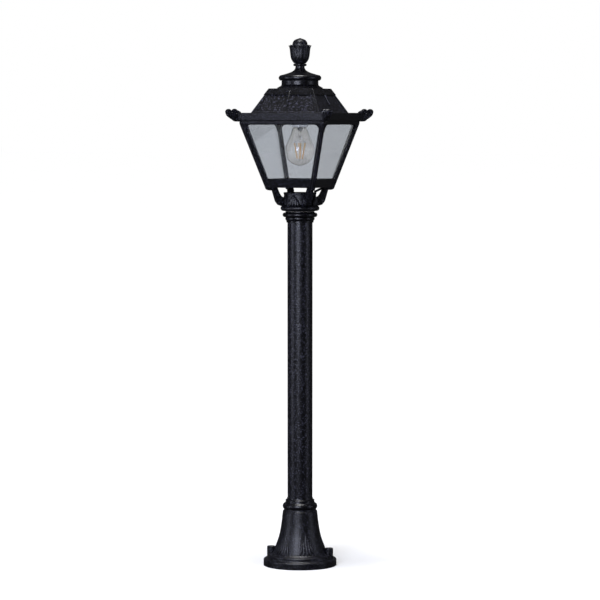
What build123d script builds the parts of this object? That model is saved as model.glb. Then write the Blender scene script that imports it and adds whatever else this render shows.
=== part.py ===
from build123d import *
import math
import os

# A garden post lantern: bell foot, round post, swivelling four-sided lantern, lift-out lamp
# carrier, bayonet cap with a bud finial, and a screw-in lamp that hangs cap-up.
# Millimetres, +Z up. The origin is the middle of the foot's underside. The four glazed faces look
# along +X, +Y, -X and -Y, so the lantern's corners stand at 45 degrees. In an outline, a point is
# (radius from the post's axis, height).

# ---- driving dimensions ----------------------------------------------------------------------
TOTAL_HEIGHT = 1054.0
FIT = 0.05                     # radial clearance of a running fit

FLANGE_RADIUS = 73.2
FLANGE_HEIGHT = 14.0
STEP_RADIUS = 64.8
STEP_TOP = 22.0
BELL_TOP = 114.0
LUG_ANGLE = 10.0               # direction of the anchor lugs
LUG_CIRCLE = 59.5              # radius of the circle through the anchor holes
LUG_RADIUS = 8.5
LUG_TOP = 36.0
ANCHOR_HOLE = 4.0              # radius of an anchor hole

TUBE_OUTER = 25.0
TUBE_INNER = 22.5
TUBE_BOTTOM = 40.0
TUBE_TOP = 700.0
SCREW_RADIUS = 2.5
COLLAR_BOTTOM = 688.0
COLLAR_TOP = 709.7
SPIGOT_OUTER = 18.0
SPIGOT_BORE = 14.5

CUP_BOTTOM = 710.3
CUP_FLOOR = 724.0
CUP_TOP = 748.0
CUP_RADIUS = 33.0
CUP_INNER = 29.0

SILL_BOTTOM = 758.0
SILL_TOP = 775.0
SILL_HALF = 52.5               # half of the cage's width at the sill's underside
CAGE_SLOPE = 0.302             # how much that half grows with height
CAGE_TOP = 885.0
POST_FOOT = 753.0
POST_HALF = 3.8                # half of a corner post's width
POST_DEPTH = 16.0              # a corner post's depth, towards the middle
PANE_THICK = 2.5
PANE_INSET = 3.0               # from the cage's outer face to the pane
PANE_MARGIN = 7.4              # from the cage's corner to the pane's edge
RAIL_THICK = 2.4
GUSSET = 14.0                  # legs of the curved gussets in a window's upper corners

LIP_HALF = 91.0
EAVE_HALF = 98.8
LIP_LOW = 889.0
EAVE_LOW = 891.0
EAVE_TOP = 906.0
EAVE_PLATE = 4.0
ROOF_HALF_LOW = 73.8
ROOF_HALF_TOP = 46.5
ROOF_TOP = 954.0
ROOF_WALL = 4.0

NECK_OUTER = 36.7
NECK_INNER = 34.0
NECK_BOTTOM = 940.0
NECK_TOP = 969.0
LEDGE_INNER = 32.2
LEDGE_BOTTOM = 948.0
LEDGE_TOP = 965.0
GROOVE_LOW = 954.6
GROOVE_HIGH = 960.4
SLOT_WIDTH = 15.0
KEY_WIDTH = 13.0
KEY_OUTER = 33.7
KEY_INNER = 31.8
CARRIER_LOW = 950.0
CARRIER_HIGH = 954.0
STEM_RADIUS = 6.0
CAP_LOW = 970.0
CAP_RADIUS = 42.4

HOLDER_RADIUS = 17.0
HOLDER_LOW = 878.0
HOLDER_TOP = 925.0
LAMP_RADIUS = 30.0
LAMP_BOTTOM = 801.0
LAMP_CAP_RADIUS = 13.25
LAMP_TOP = 906.0

SQRT2 = math.sqrt(2)
CORNERS = range(4)


# ---- small tools -----------------------------------------------------------------------------
def outline(start, *steps):
    """A face in the radius-height plane. A step is a point, for a straight line, a list of two
    points, for an arc through the first to the second, or a longer list, for a smooth curve."""
    edges = []
    here = start
    for step in steps:
        if isinstance(step, tuple):
            edges.append(Line(here, step))
            here = step
            continue
        edge = ThreePointArc(here, *step) if len(step) == 2 else Spline(here, *step)
        edges.append(edge)
        here = step[-1]
    edges.append(Line(here, start))
    return Plane.XZ * make_face(edges)


def turned(start, *steps):
    """The solid that an outline sweeps in one turn about the post's axis."""
    return revolve(outline(start, *steps), Axis.Z)


def ring(inner, outer, low, high):
    """A plain ring about the post's axis."""
    return turned((inner, low), (outer, low), (outer, high), (inner, high))


def disc(radius, low, high):
    """A plain disc about the post's axis."""
    return Pos(0, 0, (low + high) / 2) * Cylinder(radius, high - low)


def peg(radius, x, y, low, high):
    """A round upright peg at a place."""
    return Pos(x, y, (low + high) / 2) * Cylinder(radius, high - low)


def spoke(radius, inner, outer, height, angle):
    """A round bar that points away from the axis."""
    bar = Rot(0, 90, 0) * Cylinder(radius, outer - inner)
    return Rot(0, 0, angle) * Pos((inner + outer) / 2, 0, height) * bar


def rod(start, end, radius):
    """A round bar between two points."""
    path = Line(start, end)
    return sweep(Plane(origin=start, z_dir=path % 0) * Circle(radius), path)


def frustum(half_low, low, half_high, high):
    """A square block whose sides lean."""
    bottom = Pos(0, 0, low) * Rectangle(2 * half_low, 2 * half_low)
    top = Pos(0, 0, high) * Rectangle(2 * half_high, 2 * half_high)
    return loft([bottom, top], ruled=True)


def cage_half(height):
    """Half of the cage's outer width at a height."""
    return SILL_HALF + CAGE_SLOPE * (height - SILL_BOTTOM)


def cage_frame(outset, inset, low, high):
    """A square ring that follows the cage's lean, between two depths from its outer face."""
    outer = frustum(cage_half(low) - outset, low, cage_half(high) - outset, high)
    inner = frustum(cage_half(low) - inset, low, cage_half(high) - inset, high)
    return outer - inner


def at_corner(index):
    """Turns a piece drawn along +X to a corner of the lantern."""
    return Rot(0, 0, 45 + 90 * index)


# ---- foot and post ---------------------------------------------------------------------------
def grub_screws(inner, outer, height, angles):
    """Radial grub screws, each with a plain socket in its head."""
    screws = []
    for angle in angles:
        screw = spoke(SCREW_RADIUS, inner, outer, height, angle)
        screws.append(screw - spoke(SCREW_RADIUS * 0.45, outer - 3, outer + 1, height, angle))
    return screws


def grub_holes(inner, outer, height, angles):
    """The holes that the grub screws sit in."""
    return [spoke(SCREW_RADIUS, inner, outer, height, angle) for angle in angles]


BASE_SCREW_ANGLES = (70, 130)
COLLAR_SCREW_ANGLES = (80, 150)
BASE_SCREW_HEIGHT = 100.0
COLLAR_SCREW_HEIGHT = 695.5


def base_casting():
    """Bell foot, open underneath, with a flange, a stepped ring, two lugs and a tube socket."""
    bell = turned(
        (0, 0), (FLANGE_RADIUS, 0), (FLANGE_RADIUS, FLANGE_HEIGHT - 3),
        [(FLANGE_RADIUS - 1, FLANGE_HEIGHT - 1), (FLANGE_RADIUS - 3, FLANGE_HEIGHT)],
        (STEP_RADIUS, FLANGE_HEIGHT), (STEP_RADIUS, STEP_TOP - 2),
        [(STEP_RADIUS - 0.7, STEP_TOP - 0.6), (STEP_RADIUS - 2, STEP_TOP)],
        (55.5, STEP_TOP),
        [(49.4, 38), (44.6, 51), (39.3, 72), (36.4, 92), (34.6, 108)],
        (32.0, BELL_TOP), (0, BELL_TOP))
    hollow = turned(
        (0, -1), (57, -1), (57, 10), (50, 19), (45, 34), (38, 52), (33, 72), (29.5, 90), (0, 90))
    socket = ring(21, 29.5, TUBE_BOTTOM - 4, BELL_TOP)
    body = bell - hollow + socket
    body -= disc(TUBE_OUTER + FIT, TUBE_BOTTOM, BELL_TOP + 1)
    for angle in (LUG_ANGLE, LUG_ANGLE + 180):
        place = Rot(0, 0, angle) * Pos(LUG_CIRCLE, 0, LUG_TOP / 2)
        body += place * Cylinder(LUG_RADIUS, LUG_TOP)
        body -= place * Cylinder(ANCHOR_HOLE, LUG_TOP + 2)
    for hole in grub_holes(TUBE_OUTER - 6, 60, BASE_SCREW_HEIGHT, BASE_SCREW_ANGLES):
        body -= hole
    return body


def base_ring():
    """Turned ring that covers the joint between the bell and the tube."""
    bore = TUBE_OUTER + FIT
    return turned(
        (bore, BELL_TOP), (33.0, BELL_TOP), [(34.8, 119), (33.2, 123.8)],
        [(30.4, 126.2), (28.6, 129.2)], [(29.0, 131.0), (26.9, 132.6)],
        (25.8, 136), (bore, 136))


def post_tube():
    """Hollow post, with holes for the grub screws at both ends."""
    tube = ring(TUBE_INNER, TUBE_OUTER, TUBE_BOTTOM, TUBE_TOP)
    holes = grub_holes(TUBE_INNER - 2, TUBE_OUTER + 2, BASE_SCREW_HEIGHT, BASE_SCREW_ANGLES)
    holes += grub_holes(TUBE_INNER - 2, TUBE_OUTER + 2, COLLAR_SCREW_HEIGHT, COLLAR_SCREW_ANGLES)
    for hole in holes:
        tube -= hole
    return tube


def cable_grommet():
    """Rubber grommet in the bottom of the socket, with a hole for the supply cable."""
    return turned(
        (5, TUBE_BOTTOM - 7), (24, TUBE_BOTTOM - 7), (24, TUBE_BOTTOM - 4), (21, TUBE_BOTTOM - 4),
        (21, TUBE_BOTTOM + 1), (5, TUBE_BOTTOM + 1))


def top_collar():
    """Turned collar on the top of the tube, with the bead that the lantern turns above."""
    bore = TUBE_OUTER + FIT
    collar = turned(
        (bore, COLLAR_BOTTOM), (26.9, COLLAR_BOTTOM), (26.9, 691.5),
        [(29.0, 694.5), (28.8, 698.8)], [(34.7, 703.4), (30.2, 707.8)], (29, COLLAR_TOP),
        (SPIGOT_OUTER + FIT, COLLAR_TOP), (SPIGOT_OUTER + FIT, TUBE_TOP), (bore, TUBE_TOP))
    for hole in grub_holes(TUBE_OUTER - 2, 40, COLLAR_SCREW_HEIGHT, COLLAR_SCREW_ANGLES):
        collar -= hole
    return collar


def swivel_spigot():
    """Hollow spigot: a plug inside the tube and the stem that the lantern turns on."""
    spigot = turned(
        (SPIGOT_BORE, 660), (TUBE_INNER, 660), (TUBE_INNER, TUBE_TOP), (SPIGOT_OUTER, TUBE_TOP),
        (SPIGOT_OUTER, 732), (SPIGOT_BORE, 732))
    for hole in grub_holes(SPIGOT_OUTER, TUBE_INNER + 1, COLLAR_SCREW_HEIGHT, COLLAR_SCREW_ANGLES):
        spigot -= hole
    return spigot


def swivel_washer():
    """Nylon washer that carries the lantern."""
    return ring(SPIGOT_OUTER + FIT, 28, COLLAR_TOP, CUP_BOTTOM - 0.1)


def spigot_nut():
    """Six-sided nut that keeps the lantern on its spigot."""
    low = CUP_FLOOR + 0.2
    nut = Pos(0, 0, low + 3) * extrude(RegularPolygon(25, 6), 3, both=True)
    return nut - disc(SPIGOT_OUTER, low - 1, low + 7)


# ---- lantern ---------------------------------------------------------------------------------
def lantern_cup():
    """Turned cup on the spigot. The four brackets spring from its side."""
    return turned(
        (SPIGOT_OUTER + FIT, CUP_BOTTOM), (29, CUP_BOTTOM), (29, 712),
        [(38.8, 716.6), (34.8, 721.6)], [(31.8, 729), (32.0, 738), (CUP_RADIUS, CUP_TOP)],
        (CUP_INNER, CUP_TOP), (CUP_INNER, CUP_FLOOR), (SPIGOT_OUTER + FIT, CUP_FLOOR))


def cup_cover():
    """Lid of the cup, over the wiring."""
    return disc(CUP_INNER, CUP_TOP - 3, CUP_TOP)


def terminal_block():
    """Two-way terminal block under the lid, with its two wire holes."""
    block = Pos(0, 0, CUP_TOP - 3 - 5) * Box(26, 15, 10)
    for side in (-1, 1):
        block -= Pos(6 * side, 0, CUP_TOP - 8) * Rot(90, 0, 0) * Cylinder(1.8, 20)
    return block


def bracket(index, cup, posts):
    """Curved bracket from the cup's side to a corner of the sill."""
    side = outline(
        (31, 737), (31, 721), (39, 720.5),
        [(45.5, 723.4), (51.4, 729.6), (54.9, 740), (58, 750), (61, SILL_BOTTOM)],
        (49.5, SILL_BOTTOM), [(46.5, 750), (41.5, 741.5), (35, 737.5)])
    arm = extrude(side, 5.5, both=True)
    arm = at_corner(index) * arm - cup
    for corner_post in posts:
        arm -= corner_post
    return arm


def lead_conduit(brackets, cup, cover):
    """Thin tube that takes the lamp's leads from the cup to the hollow of one corner post."""
    start = (31 / SQRT2, 31 / SQRT2, CUP_TOP + 0.6)
    end = (47 / SQRT2, 47 / SQRT2, SILL_BOTTOM - 2.3)
    return rod(start, end, 2.3) - brackets[0] - cup - cover


def corner_post(index, panes):
    """Leaning corner post, with an arris outside and a groove for each pane."""
    def section(height):
        reach = cage_half(height) * SQRT2
        points = [(reach, 0), (reach - POST_HALF, POST_HALF), (reach - POST_DEPTH, POST_HALF),
                  (reach - POST_DEPTH, -POST_HALF), (reach - POST_HALF, -POST_HALF)]
        return Pos(0, 0, height) * make_face(Polyline(*points, close=True))
    bar = at_corner(index) * loft([section(POST_FOOT), section(CAGE_TOP)], ruled=True)
    for sheet in panes:
        bar -= sheet
    return bar


def pane(side, grow=0.0):
    """Clear pane in one face of the cage. Grown a little, it cuts the groove that holds it."""
    def section(height):
        half = cage_half(height)
        depth = half - PANE_INSET - PANE_THICK / 2
        sheet = Rectangle(2 * (half - PANE_MARGIN + grow), PANE_THICK + 2 * grow)
        return Pos(0, -depth, height) * sheet
    low = section(SILL_TOP - 3 - grow)
    high = section(CAGE_TOP - 0.1 + grow)
    return Rot(0, 0, 90 * side) * loft([low, high], ruled=True)


def one_side(frame, side):
    """The part of a square frame that lies in one face of the cage."""
    wedge = make_face(Polyline((0, 0), (120, -120), (-120, -120), close=True))
    return frame & Rot(0, 0, 90 * side) * extrude(wedge, TOTAL_HEIGHT)


def sill_rail(side, posts, grooves):
    """Bottom rail of one face, grooved for its pane."""
    rail = one_side(cage_frame(1, 9, SILL_BOTTOM, SILL_TOP), side)
    for piece in [*posts, *grooves]:
        rail -= piece
    return rail


def floor_plate(posts):
    """Floor of the lantern, with four drain holes."""
    plate = frustum(cage_half(SILL_BOTTOM) - 9, SILL_BOTTOM, cage_half(761) - 9, 761)
    for index in CORNERS:
        plate -= at_corner(index) * peg(2.5, 42, 0, SILL_BOTTOM - 1, 762)
    for corner in posts:
        plate -= corner
    return plate


def top_rail(side, posts):
    """Thin rail over one window, with a curved gusset in each upper corner."""
    low, high = CAGE_TOP - GUSSET - 3, CAGE_TOP
    rail = one_side(cage_frame(0.4, 0.4 + RAIL_THICK, low, high), side)
    half_top = cage_half(high) - PANE_MARGIN - 2
    half_low = cage_half(low) - PANE_MARGIN - 2
    top = high - 2.5
    bend_x, bend_z = half_top - GUSSET * 0.36, top - GUSSET * 0.36
    window = make_face([
        Line((-half_low, low - 5), (half_low, low - 5)),
        Line((half_low, low - 5), (half_low, top - GUSSET)),
        ThreePointArc((half_low, top - GUSSET), (bend_x, bend_z), (half_top - GUSSET, top)),
        Line((half_top - GUSSET, top), (GUSSET - half_top, top)),
        ThreePointArc((GUSSET - half_top, top), (-bend_x, bend_z), (-half_low, top - GUSSET)),
        Line((-half_low, top - GUSSET), (-half_low, low - 5))])
    rail -= Rot(0, 0, 90 * side) * extrude(Plane.XZ * window, 150, both=True)
    for corner in posts:
        rail -= corner
    return rail


def eave_frame():
    """Square eave: a lip over the panes, an upright fascia and a flat top plate."""
    plate_low = EAVE_TOP - EAVE_PLATE
    fascia = frustum(EAVE_HALF, EAVE_LOW, EAVE_HALF, EAVE_TOP)
    fascia -= frustum(EAVE_HALF - 4, EAVE_LOW - 1, EAVE_HALF - 4, plate_low)
    lip = frustum(LIP_HALF, CAGE_TOP, LIP_HALF, plate_low)
    lip -= frustum(LIP_HALF - 4, LIP_LOW, LIP_HALF - 4, plate_low)
    lip -= frustum(84.5, CAGE_TOP - 1, 84.5, LIP_LOW)
    frame = lip + fascia - disc(62, EAVE_LOW, EAVE_TOP + 1)
    for index in CORNERS:
        frame -= at_corner(index) * peg(SCREW_RADIUS, 82, 0, EAVE_LOW, EAVE_TOP + 1)
    return frame


def corner_ornament(index, eave):
    """Curled shell at a corner of the eave."""
    side = outline(
        (124, 888), (131, 888), [(139, 889), (145.5, 894.8)], [(152.2, 899.6), (157.2, 906.8)],
        [(156.9, 911.6), (152.6, 913.8)], (148, 912), [(146, 908.5), (144, 912)],
        [(140, 914.2), (134.5, 913)], [(130, 910), (126, EAVE_TOP)], (124, EAVE_TOP))
    return at_corner(index) * extrude(side, 8, both=True) - eave


def roof_shell():
    """Hipped roof, hollow, with a bore for the neck and four inner screw bosses."""
    shell = frustum(ROOF_HALF_LOW, EAVE_TOP, ROOF_HALF_TOP, ROOF_TOP)
    shell -= frustum(ROOF_HALF_LOW - ROOF_WALL, EAVE_TOP - 0.01,
                     ROOF_HALF_TOP - ROOF_WALL + 1, ROOF_TOP - ROOF_WALL)
    solid_roof = frustum(ROOF_HALF_LOW - 1, EAVE_TOP, ROOF_HALF_TOP - 1, ROOF_TOP)
    for index in CORNERS:
        boss = at_corner(index) * peg(6, 82, 0, EAVE_TOP, EAVE_TOP + 12)
        shell += boss & solid_roof
        shell -= at_corner(index) * peg(SCREW_RADIUS, 82, 0, EAVE_TOP - 1, EAVE_TOP + 9)
    return shell - disc(NECK_OUTER, ROOF_TOP - 10, ROOF_TOP + 1)


def roof_screws():
    """Four pan-head screws that hold the roof on the eave."""
    screws = []
    for index in CORNERS:
        plate = EAVE_TOP - EAVE_PLATE
        shank = peg(SCREW_RADIUS, 82, 0, plate - 2.5, EAVE_TOP + 8)
        head = peg(4.5, 82, 0, plate - 2.5, plate)
        screws.append(at_corner(index) * (shank + head))
    return screws


def key_blocks(inner, outer, width, low, high):
    """Three short blocks round a circle, at 0, 120 and 240 degrees."""
    blocks = []
    for angle in (0, 120, 240):
        bar = Pos(outer / 2, 0, (low + high) / 2) * Box(outer, width, high - low)
        trimmed = (Rot(0, 0, angle) * bar) & ring(inner, outer, low, high)
        blocks.append(trimmed)
    return blocks


def roof_neck():
    """Round neck in the roof. Its inner ledge has three entry slots and a bayonet groove."""
    wall = turned(
        (NECK_INNER, NECK_BOTTOM), (NECK_OUTER, NECK_BOTTOM), (NECK_OUTER, ROOF_TOP),
        (45.2, ROOF_TOP), (45.6, 955.6), [(42, 957.4), (39.8, 958.6)],
        [(37.6, 960.2), (NECK_OUTER, 963)], (NECK_OUTER, NECK_TOP), (NECK_INNER, NECK_TOP))
    ledge = ring(LEDGE_INNER, NECK_INNER, LEDGE_BOTTOM, LEDGE_TOP)
    ledge -= ring(LEDGE_INNER - 1, NECK_INNER, GROOVE_LOW, GROOVE_HIGH)
    for slot in key_blocks(LEDGE_INNER - 1, NECK_INNER, SLOT_WIDTH, LEDGE_BOTTOM - 1,
                           LEDGE_TOP + 1):
        ledge -= slot
    return wall + ledge


def neck_gasket():
    """Flat rubber ring on the neck's rim, under the cap."""
    return ring(NECK_INNER, NECK_OUTER - 0.3, NECK_TOP, CAP_LOW - 0.2)


# ---- lamp carrier and holder -----------------------------------------------------------------
def lamp_carrier():
    """Disc keyed in the neck's slots, with the stem that the cap turns on and the lamp hanger."""
    carrier = disc(KEY_INNER, CARRIER_LOW, CARRIER_HIGH)
    for key in key_blocks(KEY_INNER - 1, KEY_OUTER, KEY_WIDTH, CARRIER_LOW, CARRIER_HIGH):
        carrier += key
    carrier += disc(STEM_RADIUS, CARRIER_HIGH, 966)
    carrier += disc(8, HOLDER_TOP, CARRIER_LOW)
    return carrier - ring(4.8, STEM_RADIUS + 1, 962.6, 963.8)


def carrier_clip():
    """Circlip on the stem, which keeps the cap on the carrier."""
    return ring(4.8, 8.5, 962.6, 963.8) - Pos(7, 0, 963.2) * Box(8, 3, 3)


def lampholder_body():
    """Ceramic holder, open below."""
    return turned(
        (13.8, HOLDER_LOW), (HOLDER_RADIUS - 0.8, HOLDER_LOW), (HOLDER_RADIUS, HOLDER_LOW + 0.8),
        (HOLDER_RADIUS, 912), [(15.5, 920), (11, HOLDER_TOP)], (0, HOLDER_TOP), (0, 910),
        (13.8, 910))


def lampholder_shell():
    """Metal liner that the lamp screws into."""
    return ring(LAMP_CAP_RADIUS + 0.1, 13.8, 884, 909)


def lampholder_contact():
    """Centre tongue above the lamp's contact."""
    return Pos(0, 0, 908.1) * Box(20, 5, 3.8)


# ---- cap and finial --------------------------------------------------------------------------
def roof_cap():
    """Round cap with a beaded rim, a shallow cone and a short stem, on an inner hub."""
    return turned(
        (STEM_RADIUS + FIT, CARRIER_HIGH + 0.4), (12, CARRIER_HIGH + 0.4), (12, CAP_LOW),
        (39.4, CAP_LOW), [(CAP_RADIUS, 974.6), (39.0, 980.0)],
        [(29.4, 983), (18.8, 986.4), (12.8, 989.8), (9.7, 994)], (9, 998.5), (4, 998.5),
        (4, 985), (10, 980), (10, 962), (STEM_RADIUS + FIT, 962))


def bayonet_ring():
    """Skirt under the cap, with three lugs that lock under the neck's ledge."""
    skirt = ring(27.5, KEY_INNER, CARRIER_HIGH + 0.4, CAP_LOW)
    for lug in key_blocks(KEY_INNER - 1, KEY_OUTER, KEY_WIDTH, 955.2, 959.8):
        skirt += lug
    return skirt


def finial_ring():
    """Thin bead between the cap's stem and the bud."""
    return turned((4, 998.5), (10.8, 998.5), [(13.3, 1001), (10.8, 1003.5)], (4, 1003.5))


def finial_cup():
    """Bud of the finial, with a stud down into the cap."""
    return turned(
        (0, 985.5), (3.95, 985.5), (3.95, 1003.5), (9.6, 1003.5),
        [(13.9, 1010), (17, 1020), (19.6, 1033), (22.6, 1040)], (21.4, 1042.3),
        [(17.6, 1042), (15, 1039)], (0, 1039))


def finial_dome():
    """Domed top of the bud."""
    return turned(
        (0, 1039), (15, 1039), (15, 1042.5),
        [(13.2, 1048), (9.2, 1051.9), (4, 1053.7), (0, TOTAL_HEIGHT)])


# ---- lamp ------------------------------------------------------------------------------------
def lamp_cap():
    """Screw cap of the lamp, a thin metal shell."""
    return turned(
        (12.6, 879), (LAMP_CAP_RADIUS, 879), (LAMP_CAP_RADIUS, 900), (12, 902), (0, 902),
        (0, 901.2), (12, 901.2), (12.6, 900))


def lamp_contact():
    """Insulator and centre contact on the cap."""
    return turned((0, 902), (11.5, 902), (5.5, 904.6), (4.5, LAMP_TOP), (0, LAMP_TOP))


def lamp_glass():
    """Clear bulb, hollow, with a neck inside the cap."""
    wall = 0.8
    middle = LAMP_BOTTOM + LAMP_RADIUS
    slant = math.sqrt(0.5)
    inner = LAMP_RADIUS - wall
    return turned(
        (0, LAMP_BOTTOM),
        [(LAMP_RADIUS * slant, middle - LAMP_RADIUS * slant), (LAMP_RADIUS, middle)],
        [(26.6, 845), (22, 855), (18.2, 864.6), (14.6, 875.6)], (12.5, 877.4), (12.5, 884),
        (11.7, 884), (11.7, 877), (13.8, 875.2),
        [(17.5, 864), (21.4, 854.4), (25.9, 844.6), (inner, middle)],
        [(inner * slant, middle - inner * slant), (0, middle - inner)])


def lamp_stem():
    """Glass stem inside the bulb, with the rod that carries the filaments."""
    return turned(
        (0, 812), (1.3, 812), (1.3, 857), [(3.2, 860), (3.4, 866)], [(5.4, 874), (10.5, 880)],
        (10.5, 881), (0, 881))


def lamp_filaments():
    """Four straight filaments that lean together at their lower ends."""
    rods = []
    for index in range(4):
        turn = math.radians(31 + 90 * index)
        ends = [(r * math.cos(turn), r * math.sin(turn), z) for r, z in ((5.2, 815), (10.5, 846))]
        rods.append(rod(*ends, 1.0))
    return rods


# ---- the whole object ------------------------------------------------------------------------
def build():
    """Makes every node: a dictionary of node name to its solid or group of solids."""
    panes = [pane(side) for side in CORNERS]
    grooves = [pane(side, grow=0.1) for side in CORNERS]
    posts = [corner_post(index, grooves) for index in CORNERS]
    solid_posts = [corner_post(index, []) for index in CORNERS]
    cup, cover, eave = lantern_cup(), cup_cover(), eave_frame()
    brackets = [bracket(index, cup, solid_posts) for index in CORNERS]
    base_hole = (TUBE_INNER + 0.2, 34.6, BASE_SCREW_HEIGHT, BASE_SCREW_ANGLES)
    collar_hole = (SPIGOT_OUTER + 0.2, 28.6, COLLAR_SCREW_HEIGHT, COLLAR_SCREW_ANGLES)
    nodes = {
        "base_casting": base_casting(), "base_ring": base_ring(), "post_tube": post_tube(),
        "base_screws": grub_screws(*base_hole), "cable_grommet": cable_grommet(),
        "top_collar": top_collar(), "collar_screws": grub_screws(*collar_hole),
        "swivel_spigot": swivel_spigot(), "swivel_washer": swivel_washer(),
        "spigot_nut": spigot_nut(), "lantern_cup": cup, "cup_cover": cover,
        "terminal_block": terminal_block(), "lead_conduit": lead_conduit(brackets, cup, cover),
        "floor_plate": floor_plate(solid_posts), "eave_frame": eave, "roof_shell": roof_shell(),
        "roof_screws": roof_screws(), "roof_neck": roof_neck(), "neck_gasket": neck_gasket(),
        "lamp_carrier": lamp_carrier(), "carrier_clip": carrier_clip(),
        "lampholder_body": lampholder_body(), "lampholder_shell": lampholder_shell(),
        "lampholder_contact": lampholder_contact(), "roof_cap": roof_cap(),
        "bayonet_ring": bayonet_ring(), "finial_ring": finial_ring(),
        "finial_cup": finial_cup(), "finial_dome": finial_dome(), "lamp_cap": lamp_cap(),
        "lamp_contact": lamp_contact(), "lamp_glass": lamp_glass(), "lamp_stem": lamp_stem(),
        "lamp_filaments": lamp_filaments()}
    for index in CORNERS:
        nodes[f"bracket_{index + 1}"] = brackets[index]
        nodes[f"corner_post_{index + 1}"] = posts[index]
        nodes[f"pane_{index + 1}"] = panes[index]
        nodes[f"sill_rail_{index + 1}"] = sill_rail(index, solid_posts, grooves)
        nodes[f"top_rail_{index + 1}"] = top_rail(index, solid_posts)
        nodes[f"corner_ornament_{index + 1}"] = corner_ornament(index, eave)
    return nodes


os.makedirs("parts", exist_ok=True)
for name, shape in build().items():
    if isinstance(shape, list):
        shape = Compound(children=shape)
    export_step(shape, f"parts/{name}.step")
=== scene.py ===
"""Looks of a black garden post lantern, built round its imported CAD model.

Lengths in the classes are millimetres in the CAD model's own frame: the origin is the middle of
the foot's underside, +Z is up, and the lantern's four glazed faces look along +X, +Y, -X and -Y.
"""
import logging
import math
from contextlib import contextmanager
from dataclasses import dataclass, field
from enum import Enum
from typing import Any, Callable, Iterator, Sequence

import bpy
from mathutils import Matrix, Vector


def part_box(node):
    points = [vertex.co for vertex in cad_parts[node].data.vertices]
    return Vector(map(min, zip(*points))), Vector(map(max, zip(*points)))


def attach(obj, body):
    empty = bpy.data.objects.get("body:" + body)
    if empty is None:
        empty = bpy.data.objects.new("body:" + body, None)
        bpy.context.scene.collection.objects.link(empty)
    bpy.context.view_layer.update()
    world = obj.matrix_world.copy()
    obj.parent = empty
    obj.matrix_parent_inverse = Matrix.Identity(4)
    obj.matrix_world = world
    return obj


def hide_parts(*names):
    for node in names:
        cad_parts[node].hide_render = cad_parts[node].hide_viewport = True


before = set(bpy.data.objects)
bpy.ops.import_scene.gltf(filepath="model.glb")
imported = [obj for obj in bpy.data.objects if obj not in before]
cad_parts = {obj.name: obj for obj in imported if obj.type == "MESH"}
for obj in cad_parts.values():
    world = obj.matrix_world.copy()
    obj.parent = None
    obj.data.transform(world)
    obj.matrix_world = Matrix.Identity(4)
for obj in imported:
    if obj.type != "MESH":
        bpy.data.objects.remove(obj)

Point = tuple[float, float]
Piece = bpy.types.Object

MM = 0.001
TURN = math.tau
CORNERS = range(4)
CORNER_NAMES = (1, 2, 3, 4)
FINE_STEPS = 96                 # flats round a large turned piece
SMALL_STEPS = 48                # flats round a small turned piece
MERGE = 0.005 * MM              # points nearer than this are one point
SLIVER = 0.1 * MM               # edges shorter than this are closed up where chamfers meet
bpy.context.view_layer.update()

LOG = logging.getLogger("lantern")


# ---------------------------------------------------------------------------------------------
# Drawing
# ---------------------------------------------------------------------------------------------
class Plane(Enum):
    """A plane to draw in: what its first and second numbers mean."""

    FACE = "across, up"             # upright, facing -Y
    CORNER = "out to a corner, up"  # upright, through the post's axis at 45 degrees

    @property
    def matrix(self) -> Matrix:
        """The matrix that takes a drawn point to its place."""
        turn = TURN / 8 if self is Plane.CORNER else 0.0
        upright = Matrix.Rotation(TURN / 4, 4, "X")
        return Matrix.Rotation(turn, 4, "Z") @ upright


@dataclass
class Outline:
    """A line drawn in a plane, in millimetres, one stretch after another."""

    points: list[Point]

    @classmethod
    def at(cls, x: float, y: float) -> "Outline":
        """An outline that starts at a point."""
        return cls([(x, y)])

    def to(self, *ends: Point) -> "Outline":
        """Straight runs to one point after another."""
        self.points.extend(ends)
        return self

    def arc(self, middle: Point, end: Point, steps: int = 6) -> "Outline":
        """A round stretch.

        Args:
            middle: A point that the arc passes through.
            end: Where the arc ends.
            steps: How many straight runs stand for it.

        Returns:
            The outline itself.
        """
        start = self.points[-1]
        centre = circle_centre(start, middle, end)
        first, through, last = (math.atan2(p[1] - centre[1], p[0] - centre[0])
                                for p in (start, middle, end))
        sweep = (last - first) % TURN
        if (through - first) % TURN > sweep:
            sweep -= TURN
        radius = math.dist(centre, start)
        for step in range(1, steps):
            angle = first + sweep * step / steps
            self.points.append((centre[0] + radius * math.cos(angle),
                                centre[1] + radius * math.sin(angle)))
        self.points.append(end)
        return self

    def curve(self, *through: Point, steps: int = 4) -> "Outline":
        """A smooth stretch through some points.

        Args:
            through: The points, the last of which ends the stretch.
            steps: How many straight runs stand for the way from one point to the next.

        Returns:
            The outline itself.
        """
        knots = [self.points[-1], *through]
        knots = [knots[0], *knots, knots[-1]]
        for before, start, end, after in zip(knots, knots[1:], knots[2:], knots[3:]):
            for step in range(1, steps + 1):
                self.points.append(tuple(
                    smooth_between(*values, step / steps)
                    for values in zip(before, start, end, after)))
        return self

    def width_at(self, height: float) -> float:
        """How far out the first stretch that passes a height lies there."""
        for (x0, y0), (x1, y1) in zip(self.points, self.points[1:]):
            if min(y0, y1) <= height <= max(y0, y1) and y0 != y1:
                return x0 + (x1 - x0) * (height - y0) / (y1 - y0)
        raise ValueError(f"the outline doesn't pass a height of {height} mm")


def circle_centre(a: Point, b: Point, c: Point) -> Point:
    """The centre of the circle through three points."""
    ax, ay, bx, by, cx, cy = *a, *b, *c
    twice_area = 2 * (ax * (by - cy) + bx * (cy - ay) + cx * (ay - by))
    sa, sb, sc = ax * ax + ay * ay, bx * bx + by * by, cx * cx + cy * cy
    return ((sa * (by - cy) + sb * (cy - ay) + sc * (ay - by)) / twice_area,
            (sa * (cx - bx) + sb * (ax - cx) + sc * (bx - ax)) / twice_area)


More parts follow.
